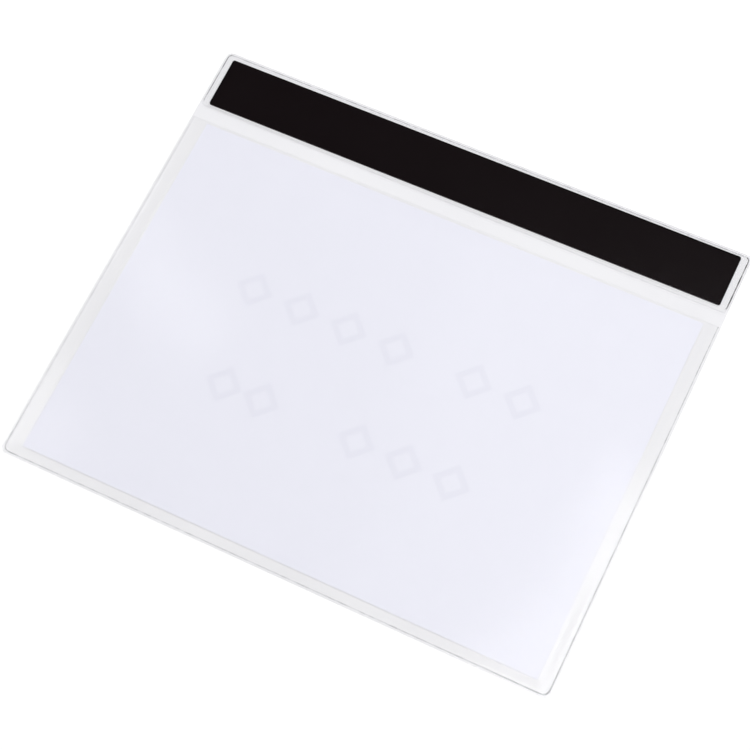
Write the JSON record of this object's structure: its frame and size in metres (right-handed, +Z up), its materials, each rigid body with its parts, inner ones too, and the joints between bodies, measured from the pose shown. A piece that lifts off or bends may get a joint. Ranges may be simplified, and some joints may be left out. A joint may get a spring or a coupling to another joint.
{
  "type": "document identification pocket",
  "caption": "Flat clear film pocket for a landscape paper sheet, welded along the sides and bottom, with a black magnetic strip sealed in a long compartment above its open mouth.",
  "frame": {"origin": "under the middle of the pocket, on the plane that it lies on", "axes": "+X along the magnetic strip, +Y from the pocket's bottom edge towards the strip, +Z up through the front film to the back"},
  "size_m": [0.3164, 0.263, 0.0016],
  "materials": {
    "clear_film": "clear soft plastic film with a smooth gloss",
    "magnetic_rubber": "near-black magnetic rubber with a low sheen",
    "white_paper": "uncoated bluish-white office paper"
  },
  "bodies": {
    "root": {"front_film": "clear_film", "back_film": "clear_film", "strip_cover_film": "clear_film", "magnetic_strip": "magnetic_rubber", "document_sheet": "white_paper"}
  },
  "joints": []
}
